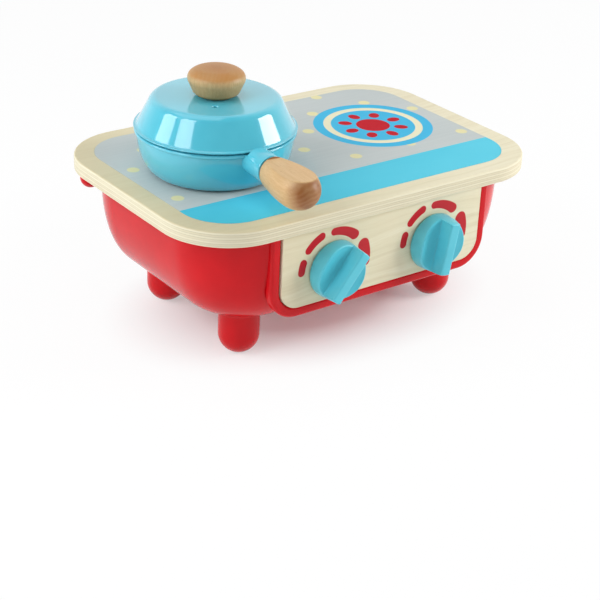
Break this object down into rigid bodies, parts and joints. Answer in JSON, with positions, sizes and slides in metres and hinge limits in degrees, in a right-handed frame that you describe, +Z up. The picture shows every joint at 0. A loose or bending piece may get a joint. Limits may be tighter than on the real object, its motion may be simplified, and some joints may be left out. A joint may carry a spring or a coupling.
{
  "type": "toy stove",
  "caption": "Toy stove with a wooden hob board on a moulded tub with round feet, clicking knobs on a wooden front panel, and a lidded pan on one burner.",
  "frame": {"origin": "centre of the footprint box, on the surface that the feet stand on", "axes": "+Z up, -Y towards the child at the front with the knobs, +X to the right as seen from the front"},
  "size_m": [0.25, 0.187, 0.1572],
  "materials": {
    "cream_plywood": "clear satin lacquer",
    "printed_sheet": "satin print",
    "red_plastic": "gloss moulded",
    "blue_plastic": "satin moulded",
    "blue_enamel": "gloss",
    "white_plastic": "as moulded",
    "beech_wood": "oiled",
    "screw_steel": "zinc plated"
  },
  "bodies": {
    "stove": {"hob_board": "cream_plywood", "hob_sheet": "printed_sheet", "body_shell": "red_plastic", "front_panel": "cream_plywood", "foot_front_left": "red_plastic", "foot_front_right": "red_plastic", "foot_back_left": "red_plastic", "foot_back_right": "red_plastic", "utensil_peg_left": "red_plastic", "utensil_peg_right": "red_plastic", "bush_left": "white_plastic", "bush_right": "white_plastic", "click_spring_left": "white_plastic", "click_spring_right": "white_plastic", "board_screws": "screw_steel", "panel_screws": "screw_steel", "foot_screws": "screw_steel", "spring_screws": "screw_steel"},
    "knob_left": {"knob_left": "blue_plastic", "knob_shaft_left": "white_plastic", "click_wheel_left": "white_plastic", "wheel_screw_left": "screw_steel"},
    "knob_right": {"knob_right": "blue_plastic", "knob_shaft_right": "white_plastic", "click_wheel_right": "white_plastic", "wheel_screw_right": "screw_steel"},
    "pan": {"pan_body": "blue_enamel", "pan_handle": "beech_wood", "handle_screw": "screw_steel"},
    "lid": {"lid_shell": "blue_enamel", "lid_knob": "beech_wood", "lid_screw": "screw_steel"}
  },
  "joints": [
    {"name": "knob_left_turn", "type": "hinge", "parent": "stove", "child": "knob_left", "pos_m": [-0.0363, -0.074, 0.0597], "axis": [0, 1, 0], "continuous": true},
    {"name": "knob_right_turn", "type": "hinge", "parent": "stove", "child": "knob_right", "pos_m": [0.0363, -0.074, 0.0597], "axis": [0, 1, 0], "continuous": true},
    {"name": "pan_lift", "type": "slide", "parent": "stove", "child": "pan", "axis": [0, 0, 1], "range_m": [0, 0.06]},
    {"name": "lid_lift", "type": "slide", "parent": "pan", "child": "lid", "axis": [0, 0, 1], "range_m": [0, 0.05]}
  ]
}
